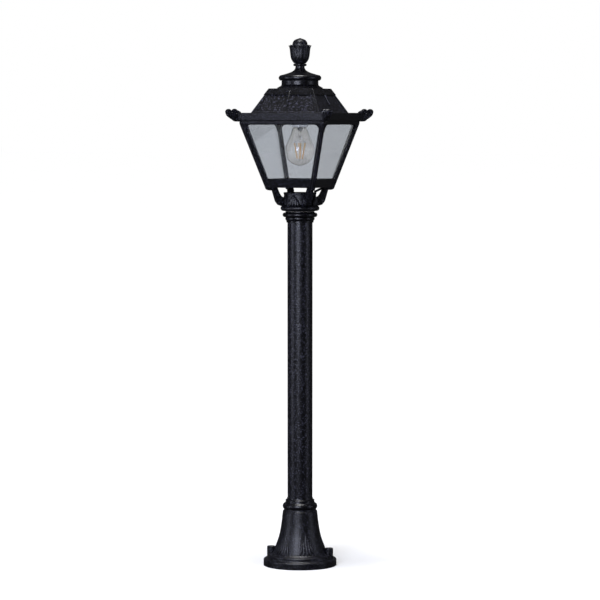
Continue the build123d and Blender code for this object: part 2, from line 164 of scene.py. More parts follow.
def smooth_between(before: float, start: float, end: float, after: float, share: float) -> float:
    """A value on a Catmull-Rom curve, a share of the way from start to end."""
    slope_in, slope_out = (end - before) / 2, (after - start) / 2
    square, cube = share * share, share * share * share
    return (start * (2 * cube - 3 * square + 1) + end * (3 * square - 2 * cube)
            + slope_in * (cube - 2 * square + share) + slope_out * (cube - square))


# ---------------------------------------------------------------------------------------------
# Modelling
# ---------------------------------------------------------------------------------------------
def pick(piece: Piece) -> None:
    """Makes one object the only one selected, and the active one."""
    bpy.ops.object.select_all(action="DESELECT")
    piece.select_set(True)
    bpy.context.view_layer.objects.active = piece


@contextmanager
def editing(piece: Piece) -> Iterator[None]:
    """Edit mode on one object, with all of its mesh selected at first.

    Args:
        piece: The object to edit.

    Yields:
        Nothing. Object mode comes back when the block ends.
    """
    pick(piece)
    bpy.ops.object.mode_set(mode="EDIT")
    bpy.ops.mesh.select_mode(type="VERT")
    bpy.ops.mesh.select_all(action="SELECT")
    yield
    bpy.ops.object.mode_set(mode="OBJECT")


def select_where(piece: Piece, test: Callable[[Vector, Vector], bool]) -> None:
    """Selects the faces that pass a test, and nothing else. Call it in edit mode.

    Args:
        piece: The object being edited.
        test: Takes a face's middle, in millimetres, and its normal.
    """
    bpy.ops.mesh.select_all(action="DESELECT")
    bpy.ops.mesh.select_mode(type="FACE")
    bpy.ops.object.mode_set(mode="OBJECT")
    for face in piece.data.polygons:
        face.select = test(face.center / MM, face.normal)
    bpy.ops.object.mode_set(mode="EDIT")


def select_edges(piece: Piece, test: Callable[[Vector, Vector], bool]) -> None:
    """Selects the edges that pass a test, and nothing else. Call it in edit mode.

    Args:
        piece: The object being edited.
        test: Takes an edge's two ends, in millimetres.
    """
    bpy.ops.mesh.select_all(action="DESELECT")
    bpy.ops.mesh.select_mode(type="EDGE")
    bpy.ops.object.mode_set(mode="OBJECT")
    points = piece.data.vertices
    for edge in piece.data.edges:
        start, end = (points[index].co / MM for index in edge.vertices)
        edge.select = test(start, end)
    bpy.ops.object.mode_set(mode="EDIT")


def drawn(name: str, outline: Outline, plane: Plane, closed: bool = True) -> Piece:
    """Draws an outline as a chain of edges, by extruding one point along it.

    Args:
        name: The object's name.
        outline: What to draw.
        plane: The plane to draw it in.
        closed: Whether the chain comes back to its start.

    Returns:
        The object, which has no faces yet.
    """
    bpy.ops.mesh.primitive_plane_add(size=MM)
    piece = bpy.context.object
    piece.name = piece.data.name = name
    points = outline.points + outline.points[:1] if closed else outline.points
    places = [plane.matrix @ Vector((x * MM, y * MM, 0)) for x, y in points]
    with editing(piece):
        bpy.ops.mesh.merge(type="CENTER")
        bpy.ops.transform.translate(value=places[0])
        for here, there in zip(places, places[1:]):
            bpy.ops.mesh.extrude_vertices_move(TRANSFORM_OT_translate={"value": there - here})
        bpy.ops.mesh.select_all(action="SELECT")
        bpy.ops.mesh.remove_doubles(threshold=MERGE)
    return piece


def turned(name: str, outline: Outline, steps: int = FINE_STEPS) -> Piece:
    """Spins an outline of radius and height once about the post's axis.

    Args:
        name: The object's name.
        outline: The section. One that starts on the axis ends on it too.
        steps: How many flats go round it.

    Returns:
        The solid.
    """
    on_axis = outline.points[0][0] == 0
    piece = drawn(name, outline, Plane.FACE, closed=not on_axis)
    with editing(piece):
        bpy.ops.mesh.spin(steps=steps, angle=TURN, center=(0, 0, 0), axis=(0, 0, 1))
        bpy.ops.mesh.select_all(action="SELECT")
        bpy.ops.mesh.remove_doubles(threshold=MERGE)
        bpy.ops.mesh.normals_make_consistent(inside=False)
    return piece


def mitred(name: str, outline: Outline) -> Piece:
    """Spins an outline of half width and height in four steps, as a square ring.

    Args:
        name: The object's name.
        outline: The section, measured out to the middle of a side.

    Returns:
        The ring, with mitred corners.
    """
    diagonal = Outline([(x * math.sqrt(2), y) for x, y in outline.points])
    piece = drawn(name, diagonal, Plane.CORNER)
    with editing(piece):
        bpy.ops.mesh.spin(steps=4, angle=TURN, center=(0, 0, 0), axis=(0, 0, 1))
        bpy.ops.mesh.select_all(action="SELECT")
        bpy.ops.mesh.remove_doubles(threshold=MERGE)
        bpy.ops.mesh.normals_make_consistent(inside=False)
    return piece


def slab(name: str, outline: Outline, width: float, plane: Plane) -> Piece:
    """Fills a closed outline and extrudes it, half to each side of its plane.

    Args:
        name: The object's name.
        outline: The side view.
        width: The whole breadth across the plane, in millimetres.
        plane: The plane that the outline is drawn in.

    Returns:
        The solid.
    """
    piece = drawn(name, outline, plane)
    across = plane.matrix.to_3x3() @ Vector((0, 0, width * MM))
    with editing(piece):
        bpy.ops.mesh.edge_face_add()
        bpy.ops.transform.translate(value=across / -2)
        bpy.ops.mesh.extrude_region_move(TRANSFORM_OT_translate={"value": across})
        bpy.ops.mesh.select_all(action="SELECT")
        bpy.ops.mesh.normals_make_consistent(inside=False)
    return piece


def placed(piece: Piece, origin: Vector, along: Vector, facing: Vector) -> Piece:
    """Turns a new primitive so that its Z lies along a line and its X faces a way, and moves it.

    Args:
        piece: The primitive, made about the origin.
        origin: Where its middle goes, in millimetres.
        along: The way that its Z axis takes.
        facing: About the way that its X axis takes.

    Returns:
        The piece, with its place in its mesh.
    """
    z_axis = along.normalized()
    y_axis = z_axis.cross(facing).normalized()
    x_axis = y_axis.cross(z_axis)
    turn = Matrix((x_axis, y_axis, z_axis)).transposed().to_4x4()
    piece.matrix_world = Matrix.Translation(origin * MM) @ turn
    pick(piece)
    bpy.ops.object.transform_apply(location=True, rotation=True, scale=True)
    return piece


def rod(name: str, start: Vector, end: Vector, radius: float, sides: int = 16) -> Piece:
    """A straight round bar with eased ends.

    Args:
        name: The object's name.
        start: The middle of one end, in millimetres.
        end: The middle of the other end.
        radius: Its radius.
        sides: How many flats go round it.

    Returns:
        The bar.
    """
    length = (end - start).length
    bpy.ops.mesh.primitive_cylinder_add(radius=radius * MM, depth=length * MM, vertices=sides)
    bar = bpy.context.object
    bar.name = bar.data.name = name
    bevelled(bar, radius * 0.2, segments=2, angle=60)
    side = Vector((1, 0, 0)) if abs((end - start).x) < length * 0.9 else Vector((0, 1, 0))
    return placed(bar, (start + end) / 2, end - start, side)


def bead(name: str, start: Vector, end: Vector, outward: Vector, width: float,
         height: float) -> Piece:
    """A long drop that lies on a surface, for leaves and flutes.

    Args:
        name: The object's name.
        start: One tip, in millimetres.
        end: The other tip.
        outward: The surface's normal there.
        width: Its breadth across the surface.
        height: Its thickness, half of which stands proud.

    Returns:
        The drop, a closed solid.
    """
    bpy.ops.mesh.primitive_uv_sphere_add(segments=16, ring_count=12, radius=0.5)
    drop = bpy.context.object
    drop.name = drop.data.name = name
    drop.scale = Vector((height, width, (end - start).length)) * MM
    bpy.ops.object.transform_apply(location=False, rotation=False, scale=True)
    return placed(drop, (start + end) / 2, end - start, outward)


def polar(radius: float, degrees: float, height: float) -> Vector:
    """A point at a radius, a direction and a height, in millimetres."""
    angle = math.radians(degrees)
    return Vector((radius * math.cos(angle), radius * math.sin(angle), height))


def finished(piece: Piece, kind: str, **settings: Any) -> Piece:
    """Adds a modifier with its settings and applies it.

    Args:
        piece: The object to change.
        kind: The modifier's type.
        settings: Its settings by name.

    Returns:
        The piece.
    """
    modifier = piece.modifiers.new(kind, kind)
    for name, value in settings.items():
        setattr(modifier, name, value)
    pick(piece)
    bpy.ops.object.modifier_apply(modifier=modifier.name)
    return piece


def bevelled(piece: Piece, width: float, segments: int = 2, angle: float = 30.0) -> Piece:
    """Eases the edges sharper than an angle, by a width in millimetres."""
    return finished(piece, "BEVEL", width=width * MM, segments=segments, limit_method="ANGLE",
                    angle_limit=math.radians(angle), use_clamp_overlap=True)


def bored(piece: Piece, tool: Piece) -> Piece:
    """Cuts one solid out of another, and removes the tool."""
    finished(piece, "BOOLEAN", operation="DIFFERENCE", solver="EXACT", object=tool)
    bpy.data.objects.remove(tool)
    return piece


def joined(name: str, pieces: Sequence[Piece]) -> Piece:
    """Joins several solids into one object.

    Args:
        name: The name of the whole.
        pieces: The solids, the first of which takes in the others.

    Returns:
        The whole.
    """
    pick(pieces[0])
    for other in pieces[1:]:
        other.select_set(True)
    bpy.ops.object.join()
    whole = bpy.context.object
    whole.name = whole.data.name = name
    return whole


def turned_copy(piece: Piece, name: str, degrees: float) -> Piece:
    """A copy with its own mesh, turned about the post's axis.

    Args:
        piece: What to copy.
        name: The copy's name.
        degrees: How far to turn it.

    Returns:
        The copy.
    """
    twin = piece.copy()
    twin.data = piece.data.copy()
    twin.name = twin.data.name = name
    bpy.context.scene.collection.objects.link(twin)
    twin.rotation_euler = (0, 0, math.radians(degrees))
    pick(twin)
    bpy.ops.object.transform_apply(location=False, rotation=True, scale=False)
    return twin


def ring_of(piece: Piece, names: Sequence[str]) -> list[Piece]:
    """The piece and its turned copies, evenly round the axis, under the names given."""
    piece.name = piece.data.name = names[0]
    step = 360 / len(names)
    return [piece] + [turned_copy(piece, name, step * (index + 1))
                      for index, name in enumerate(names[1:])]


def reshaped(piece: Piece, move: Callable[[Vector], Vector]) -> Piece:
    """Moves every point of a mesh, each by its own place in millimetres."""
    for point in piece.data.vertices:
        point.co = move(point.co / MM) * MM
    return piece


def softened(node: str, name: str, width: float) -> Piece:
    """A copy of a CAD node with its triangles merged into faces and its edges eased.

    Args:
        node: The CAD node to copy.
        name: The new object's name.
        width: The width of the eased edges, in millimetres.

    Returns:
        The new object.
    """
    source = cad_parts[node]
    twin = bpy.data.objects.new(name, source.data.copy())
    twin.data.name = name
    twin.data.materials.clear()
    bpy.context.scene.collection.objects.link(twin)
    with editing(twin):
        bpy.ops.mesh.remove_doubles(threshold=MERGE)
        bpy.ops.mesh.dissolve_limited(angle_limit=math.radians(2))
    return bevelled(twin, width)


def smooth(piece: Piece, degrees: float = 35.0) -> Piece:
    """Shades a piece smooth, apart from edges sharper than an angle, with its flats kept flat."""
    pick(piece)
    bpy.ops.object.shade_smooth_by_angle(angle=math.radians(degrees))
    return finished(piece, "WEIGHTED_NORMAL", mode="FACE_AREA", weight=50, keep_sharp=True)


def drilled(piece: Piece, direction: float, height: float, radius: float) -> Piece:
    """Drills a hole inwards from the outside of a turned piece.

    Args:
        piece: The solid.
        direction: Where the hole is, in degrees round the axis.
        height: The height of the hole's middle, in millimetres.
        radius: The hole's radius.

    Returns:
        The solid.
    """
    return bored(piece, rod("drill", polar(15, direction, height), polar(60, direction, height),
                            radius, 24))


def radius_of(node: str) -> float:
    """Half of a CAD node's width, in millimetres."""
    low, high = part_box(node)
    return (high.x - low.x) / 2 / MM


def foot_of(node: str) -> float:
    """The height of a CAD node's lowest point, in millimetres."""
    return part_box(node)[0].z / MM


def top_of(node: str) -> float:
    """The height of a CAD node's highest point, in millimetres."""
    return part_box(node)[1].z / MM


# ---------------------------------------------------------------------------------------------
# Finishes
# ---------------------------------------------------------------------------------------------
def linear(colour: str) -> tuple[float, float, float, float]:
    """An sRGB hex colour as linear red, green, blue and alpha."""
    parts = [int(colour[index:index + 2], 16) / 255 for index in (1, 3, 5)]
    red, green, blue = (p / 12.92 if p <= 0.04045 else ((p + 0.055) / 1.055) ** 2.4
                        for p in parts)
    return (red, green, blue, 1.0)


def add_node(tree: bpy.types.NodeTree, kind: str, inputs: dict[Any, Any] | None = None,
             **settings: Any) -> bpy.types.Node:
    """Adds a shader node.

    Args:
        tree: The material's node tree.
        kind: The node's type.
        inputs: Its inputs by name or number, each a value or another node's output.
        settings: Its own properties.

    Returns:
        The node.
    """
    new = tree.nodes.new(kind)
    for name, value in settings.items():
        setattr(new, name, value)
    for name, value in (inputs or {}).items():
        if isinstance(value, bpy.types.NodeSocket):
            tree.links.new(value, new.inputs[name])
        else:
            new.inputs[name].default_value = value
    return new


def new_material(name: str) -> tuple[bpy.types.Material, bpy.types.NodeTree]:
    """An empty material and its node tree."""
    material = bpy.data.materials.new(name)
    material.use_nodes = True
    material.node_tree.nodes.clear()
    return material, material.node_tree


def grain(tree: bpy.types.NodeTree, size: float, detail: float = 2.0,
          stretch: tuple[float, float, float] = (1, 1, 1)) -> bpy.types.NodeSocket:
    """Noise on the piece's own place.

    Args:
        tree: The material's node tree.
        size: The size of one grain, in millimetres.
        detail: How much finer noise is laid on it.
        stretch: How many times finer it is along each axis.

    Returns:
        The noise, from 0 to 1.
    """
    place = add_node(tree, "ShaderNodeTexCoord")
    spread = add_node(tree, "ShaderNodeMapping",
                      {"Vector": place.outputs["Object"], "Scale": stretch})
    noise = add_node(tree, "ShaderNodeTexNoise",
                     {"Vector": spread.outputs["Vector"], "Scale": 1 / (size * MM),
                      "Detail": detail, "Roughness": 0.6})
    return noise.outputs["Fac"]


@dataclass(frozen=True)
class MouldedResin:
    """Matt black moulded resin. The mould's spark-eroded skin gives it a fine stipple, drawn as
    bumps that scatter light on a bluish black ground; small lighter specks painted into its colour
    are painted glints for that stipple's sparkle."""

    name: str = "moulded_resin"
    ground: str = "#020204"
    # The lighter specks' colour: painted glints that stand in for the stipple's sparkle.
    painted_glint: str = "#3C3C49"
    roughness: float = 0.32
    gloss: float = 0.42
    stipple: float = 2.6        # drawn coarser than the real 0.3 mm, so that it shows
    depth: float = 0.6
    strength: float = 1.0

    def material(self) -> bpy.types.Material:
        """Makes the material."""
        material, tree = new_material(self.name)
        fine = grain(tree, self.stipple)
        broad = grain(tree, 26.0)
        # Painted glints: lighter specks mixed into the colour where the fine noise is high.
        painted_glints = add_node(tree, "ShaderNodeMapRange",
                          {"Value": fine, "From Min": 0.52, "From Max": 0.7})
        colour = add_node(tree, "ShaderNodeMix",
                          {"Factor": painted_glints.outputs["Result"], 6: linear(self.ground),
                           7: linear(self.painted_glint)}, data_type="RGBA")
        gloss = add_node(tree, "ShaderNodeMapRange",
                         {"Value": broad, "To Min": self.roughness - 0.05,
                          "To Max": self.roughness + 0.07})
        bump = add_node(tree, "ShaderNodeBump",
                        {"Strength": self.strength, "Distance": self.depth * MM, "Height": fine})
        shader = add_node(tree, "ShaderNodeBsdfPrincipled",
                          {"Base Color": colour.outputs[2], "Roughness": gloss.outputs["Result"],
                           "Normal": bump.outputs["Normal"], "IOR": 1.5,
                           "Specular IOR Level": self.gloss})
        add_node(tree, "ShaderNodeOutputMaterial", {"Surface": shader.outputs["BSDF"]})
        return material


@dataclass(frozen=True)
class PlainMetal:
    """Bright metal with a faint brushed or drawn grain, for fasteners, caps and contacts."""

    name: str
    colour: str
    roughness: float = 0.28
    line: float = 0.5           # spacing of the drawn lines, in millimetres

    def material(self) -> bpy.types.Material:
        """Makes the material."""
        material, tree = new_material(self.name)
        lines = grain(tree, self.line, stretch=(0.3, 0.3, 3.0))
        gloss = add_node(tree, "ShaderNodeMapRange",
                         {"Value": lines, "To Min": self.roughness - 0.08,
                          "To Max": self.roughness + 0.1})
        bump = add_node(tree, "ShaderNodeBump",
                        {"Strength": 0.25, "Distance": 0.02 * MM, "Height": lines})
        shader = add_node(tree, "ShaderNodeBsdfPrincipled",
                          {"Base Color": linear(self.colour), "Metallic": 1.0,
                           "Roughness": gloss.outputs["Result"],
                           "Normal": bump.outputs["Normal"]})
        add_node(tree, "ShaderNodeOutputMaterial", {"Surface": shader.outputs["BSDF"]})
        return material


@dataclass(frozen=True)
class SoftSolid:
    """A plain moulded or fired material with a little mottle: rubber, nylon or porcelain."""

    name: str
    dark: str
    light: str
    roughness: float
    grain_size: float
    coat: float = 0.0

    def material(self) -> bpy.types.Material:
        """Makes the material."""
        material, tree = new_material(self.name)
        mottle = grain(tree, self.grain_size, detail=4.0)
        colour = add_node(tree, "ShaderNodeMix",
                          {"Factor": mottle, 6: linear(self.dark), 7: linear(self.light)},
                          data_type="RGBA")
        gloss = add_node(tree, "ShaderNodeMapRange",
                         {"Value": mottle, "To Min": self.roughness * 0.9,
                          "To Max": self.roughness * 1.1})
        bump = add_node(tree, "ShaderNodeBump",
                        {"Strength": 0.2, "Distance": 0.03 * MM, "Height": mottle})
        shader = add_node(tree, "ShaderNodeBsdfPrincipled",
                          {"Base Color": colour.outputs[2], "Roughness": gloss.outputs["Result"],
                           "Normal": bump.outputs["Normal"], "Coat Weight": self.coat,
                           "Coat Roughness": 0.08})
        add_node(tree, "ShaderNodeOutputMaterial", {"Surface": shader.outputs["BSDF"]})
        return material


@dataclass(frozen=True)
class ClearSolid:
    """Clear glass or acrylic. It bends what is behind it and mirrors the lights, and a faint
    waviness of its skin keeps the mirror images from being perfect."""

    name: str
    tint: str
    shade: str                  # how it colours the light that casts a shadow through it
    ior: float
    roughness: float
    wave: float                 # width of the waves in its skin, in millimetres
    clear: float = 1.0          # share of the light that passes clear; the rest is a faint white haze, painted reflection
    gloss: float = 0.5          # how strongly its skin mirrors the lights

    def material(self) -> bpy.types.Material:
        """Makes the material."""
        material, tree = new_material(self.name)
        waves = grain(tree, self.wave, detail=0.0)
        bump = add_node(tree, "ShaderNodeBump",
                        {"Strength": 0.1, "Distance": 0.3 * MM, "Height": waves})
        clear = add_node(tree, "ShaderNodeBsdfPrincipled",
                         {"Base Color": linear(self.tint), "Roughness": self.roughness,
                          "IOR": self.ior, "Transmission Weight": self.clear,
                          "Specular IOR Level": self.gloss,
                          "Normal": bump.outputs["Normal"]})
        rays = add_node(tree, "ShaderNodeLightPath")
        passed = add_node(tree, "ShaderNodeBsdfTransparent", {"Color": linear(self.shade)})
        both = add_node(tree, "ShaderNodeMixShader",
                        {0: rays.outputs["Is Shadow Ray"], 1: clear.outputs["BSDF"],
                         2: passed.outputs["BSDF"]})
        add_node(tree, "ShaderNodeOutputMaterial", {"Surface": both.outputs["Shader"]})
        return material


@dataclass(frozen=True)
class Phosphor:
    """Amber silicone with phosphor in it, moulded round the lamp's filaments. The phosphor makes
    it chalky and evenly yellow, so the unlit sticks stand out inside the clear bulb."""

    name: str = "phosphor_silicone"
    dark: str = "#B8780E"
    light: str = "#EFB436"

    def material(self) -> bpy.types.Material:
        """Makes the material."""
        material, tree = new_material(self.name)
        specks = grain(tree, 1.5, detail=3.0)
        colour = add_node(tree, "ShaderNodeMix",
                          {"Factor": specks, 6: linear(self.dark), 7: linear(self.light)},
                          data_type="RGBA")
        shader = add_node(tree, "ShaderNodeBsdfPrincipled",
                          {"Base Color": colour.outputs[2], "Roughness": 0.35,
                           "Subsurface Weight": 0.2, "Subsurface Scale": 0.5 * MM})
        add_node(tree, "ShaderNodeOutputMaterial", {"Surface": shader.outputs["BSDF"]})
        return material


class Finish(Enum):
    """The finishes of the lantern's pieces. Each value is the finish and its record slot."""

    # Each resin's lighter specks are painted glints; their colour sets how bright they show,
    # brightest on the roof and the post.
    RESIN = (MouldedResin(), "black_resin")
    TURNED_RESIN = (MouldedResin("turned_resin", painted_glint="#26262F", roughness=0.27, stipple=2.6,
                                 strength=0.6), "black_resin")
    ROOF_RESIN = (MouldedResin("coarse_resin", painted_glint="#4E4E5C", roughness=0.33, stipple=3.2),
                  "black_resin")
    POST = (MouldedResin("post_resin", painted_glint="#484855", roughness=0.3, stipple=3.0),
            "post_coating")
    PANE = (ClearSolid("smoked_acrylic", "#CED1D5", "#E8EAEC", 1.49, 0.02, 60.0),
            "pane_acrylic")
    STAINLESS = (PlainMetal("stainless_steel", "#B4B4B8", 0.3), "stainless_steel")
    ZINC = (PlainMetal("zinc_plate", "#C3C6CC", 0.38), "zinc_plated")
    BRASS = (PlainMetal("brass_strip", "#C9A35B", 0.3), "brass")
    NICKEL = (PlainMetal("nickel_plate", "#BDBDBD", 0.22), "nickel_shell")
    NYLON = (SoftSolid("natural_nylon", "#CFC8B6", "#E2DCCB", 0.5, 6.0), "nylon")
    RUBBER = (SoftSolid("black_rubber", "#0C0C0C", "#1A1A1A", 0.75, 2.0), "rubber_seal")
    PORCELAIN = (SoftSolid("glazed_porcelain", "#DAD9D4", "#ECEBE7", 0.25, 9.0, coat=0.5),
                 "porcelain")
    # The bulb's faint white haze is painted reflection: whitening that stands in for the lamps'
    # reflections in the clear bulb.
    GLASS = (ClearSolid("blown_glass", "#FFFCF6", "#FAFCFC", 1.5, 0.01, 18.0, clear=0.93,
                        gloss=1.0), "lamp_glass")
    PHOSPHOR = (Phosphor(), "filament_coating")

    @property
    def slot(self) -> str:
        """The record's material slot."""
        return self.value[1]

    @property
    def material(self) -> bpy.types.Material:
        """The finish's material, made when it is first asked for."""
        finish = self.value[0]
        return bpy.data.materials.get(finish.name) or finish.material()


# ---------------------------------------------------------------------------------------------
# Sub-assemblies
# ---------------------------------------------------------------------------------------------
@dataclass
class SubAssembly:
    """Pieces that are built together and move with one body."""

    body: str
    pieces: list[Piece] = field(default_factory=list)

    def add(self, piece: Piece, finish: Finish, *nodes: str, angle: float = 35.0) -> Piece:
        """Dresses a new piece, hands it to its body and takes its CAD nodes' place.

        Args:
            piece: The finished mesh.
            finish: What it is made of.
            nodes: The CAD nodes that it stands for.
            angle: Edges sharper than this stay sharp.

        Returns:
            The piece.
        """
        with editing(piece):
            bpy.ops.mesh.dissolve_degenerate(threshold=MERGE)
        smooth(piece, angle)
        piece.data.materials.clear()
        piece.data.materials.append(finish.material)
        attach(piece, self.body)
        if nodes:
            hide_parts(*nodes)
        self.pieces.append(piece)
        LOG.info("%s: %s in %s, %d faces", self.body, piece.name, finish.name.lower(),
                 len(piece.data.polygons))
        return piece

    def keep(self, finish: Finish, *nodes: str) -> None:
        """Gives CAD nodes that stay on show their finish."""
        for name in nodes:
            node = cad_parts[name]
            node.data.materials.clear()
            node.data.materials.append(finish.material)
            LOG.info("%s: %s kept, in %s", self.body, name, finish.name.lower())

    def build(self) -> None:
        """Makes and dresses every piece."""
        raise NotImplementedError


@dataclass
class Foot(SubAssembly):
    """The bell foot with its anchor lugs and leaves, and the ring on top of it."""

    body: str = "post_stand"
    bore: float = 25.05
    lug_angle: float = 10.0
    lug_circle: float = 59.5
    lug_radius: float = 8.5
    lug_top: float = 36.0
    hole: float = 4.0
    leaf_turns: tuple[int, ...] = (-120, -60, 60, 120)
    screw_turns: tuple[int, ...] = (70, 130)
    screw_height: float = 100.0
    screw_hole: float = 2.6

    def bell_outline(self) -> Outline:
        """The foot's section, from the flange's underside up to the ring, and back inside."""
        edge, top = radius_of("base_casting"), top_of("base_casting")
        return (Outline.at(57, 0).to((edge - 1, 0)).arc((edge - 0.3, 0.3), (edge, 1), 3)
                .to((edge, 10.5)).arc((edge - 0.9, 13.0), (edge - 3.2, 14.0))
                .to((67.6, 14)).arc((65.6, 14.7), (64.8, 16.6), 4)
                .to((64.8, 19.6)).arc((64.2, 21.3), (62.5, 22), 4).to((58.2, 22.2))
                .curve((54.2, 25), (51.4, 31), (49.4, 38), (44.6, 51), (41.4, 62), (39.3, 72),
                       (37.7, 82), (36.4, 92), (35.4, 101), (34.6, 107.5))
                .arc((34.3, 109.4), (33.1, 110.4), 4).arc((32.2, 111.8), (32.0, top), 4)
                .to((self.bore, top), (self.bore, 90), (29.5, 90), (33, 72), (38, 52), (45, 34),
                    (50, 19), (57, 10)))

    def leaf(self, outline: Outline, direction: float) -> list[Piece]:
        """The lobes of one leaf, fanned out on the bell's skirt.

        Args:
            outline: The skirt's section, which the lobes lie on.
            direction: Where the leaf's middle is, in degrees round the post.

        Returns:
            The lobes, the middle one first.
        """
        lobes = []
        for turn, low, high, lean, width in (
                (0, 24.5, 66, 0, 7.5), (-8, 24.5, 59, -4, 6.5), (8, 24.5, 59, 4, 6.5),
                (-16, 25, 49, -10, 6), (16, 25, 49, 10, 6)):
            foot = polar(outline.width_at(low) - 0.6, direction + turn, low)
            tip = polar(outline.width_at(high) - 0.2, direction + lean, high)
            outward = polar(1, direction + (turn + lean) / 2, 0.35)
            sag = outline.width_at((low + high) / 2) - (foot.xy.length + tip.xy.length) / 2
            lobe = bead("lobe", foot, tip, outward, width, 4.4)
            reshaped(lobe, self.bent(foot.z, tip.z, sag))
            lobes.append(lobe)
        return lobes

    @staticmethod
    def bent(low: float, high: float, sag: float) -> Callable[[Vector], Vector]:
        """A move that bows a straight lobe to the bell's curve.

        Args:
            low: The height of the lobe's foot.
            high: The height of its tip.
            sag: How far its middle moves out.

        Returns:
            A function from an old place to a new one.
        """
        def move(place: Vector) -> Vector:
            """Bows one point out, most of all half way up.

            Args:
                place: The point, in millimetres.

            Returns:
                Its new place.
            """
            share = min(1, max(0, (place.z - low) / (high - low)))
            out = Vector((place.x, place.y, 0)).normalized()
            return place + out * sag * math.sin(math.pi * share)
        return move

    def build(self) -> None:
        """Makes the casting and its ring, and dresses the small parts inside it."""
        outline = self.bell_outline()
        bell = turned("bell_foot", outline)
        skin = Outline(outline.points[14:])
        parts = [bell]
        for side in (0, 180):
            place = polar(self.lug_circle, self.lug_angle + side, self.lug_top / 2)
            bpy.ops.mesh.primitive_cylinder_add(
                radius=(self.lug_radius - 0.6) * MM, depth=(self.lug_top + 4) * MM,
                location=place * MM, vertices=SMALL_STEPS)
            bored(bell, bpy.context.object)
            lug = turned("lug", Outline.at(self.hole, 0).to((self.lug_radius, 0))
                         .to((self.lug_radius, self.lug_top - 1.6))
                         .arc((self.lug_radius - 0.5, self.lug_top - 0.5),
                              (self.lug_radius - 1.7, self.lug_top), 4)
                         .to((self.hole + 0.8, self.lug_top), (self.hole, self.lug_top - 0.8)),
                         SMALL_STEPS)
            lug.location = polar(self.lug_circle, self.lug_angle + side, 0) * MM
            pick(lug)
            bpy.ops.object.transform_apply(location=True, rotation=False, scale=False)
            parts.append(lug)
        for direction in self.screw_turns:
            drilled(bell, direction, self.screw_height, self.screw_hole)
        for turn in self.leaf_turns:
            parts.extend(self.leaf(skin, self.lug_angle + turn))
        self.add(joined("bell_foot", parts), Finish.RESIN, "base_casting")
        low, top, edge = foot_of("base_ring"), top_of("base_ring"), radius_of("base_ring")
        ring = (Outline.at(self.bore, low).to((32.6, low)).arc((edge, 119), (33.0, 123.9), 10)
                .arc((32.4, 124.6), (31.2, 125.0), 3).curve((29.5, 126.8), (28.6, 129.4))
                .arc((29.1, 131.2), (27.1, 132.8), 8).curve((26.2, 134), (25.8, top))
                .to((self.bore, top)))
        self.add(turned("foot_ring", ring), Finish.TURNED_RESIN, "base_ring")
        self.keep(Finish.STAINLESS, "base_screws")
        self.keep(Finish.RUBBER, "cable_grommet")


@dataclass
class Post(SubAssembly):
    """The tube, the collar on top of it and the spigot that the lantern turns on."""

    body: str = "post_stand"
    wall: float = 2.5
    screw_turns: tuple[int, ...] = (80, 150)
    screw_height: float = 695.5
    screw_hole: float = 2.6

    def build(self) -> None:
        """Makes the tube and the collar."""
        low, top, edge = foot_of("post_tube"), top_of("post_tube"), radius_of("post_tube")
        inner = edge - self.wall
        tube = (Outline.at(inner, low).to((edge, low), (edge, top), (inner, top)))
        self.add(turned("post_tube_skin", tube), Finish.POST, "post_tube")
        foot, rim, bead_edge = (foot_of("top_collar"), top_of("top_collar"),
                                radius_of("top_collar"))
        collar = (Outline.at(edge, foot).to((26.4, foot)).arc((26.9, foot + 0.2), (27.1, 689), 3)
                  .curve((27.0, 691), (28.0, 692.6)).arc((29.3, 695.4), (28.6, 698.2), 6)
                  .to((29.8, 698.8)).arc((bead_edge, 703.4), (30.4, 707.7), 10)
                  .arc((29.3, 708.2), (29.0, rim), 4).to((18.05, rim), (18.05, 700.2),
                                                         (edge, 700.2)))
        ring = turned("post_collar", collar)
        for direction in self.screw_turns:
            drilled(ring, direction, self.screw_height, self.screw_hole)
        self.add(ring, Finish.TURNED_RESIN, "top_collar")
        self.keep(Finish.STAINLESS, "collar_screws")
        self.keep(Finish.ZINC, "swivel_spigot", "spigot_nut")
        self.keep(Finish.NYLON, "swivel_washer")


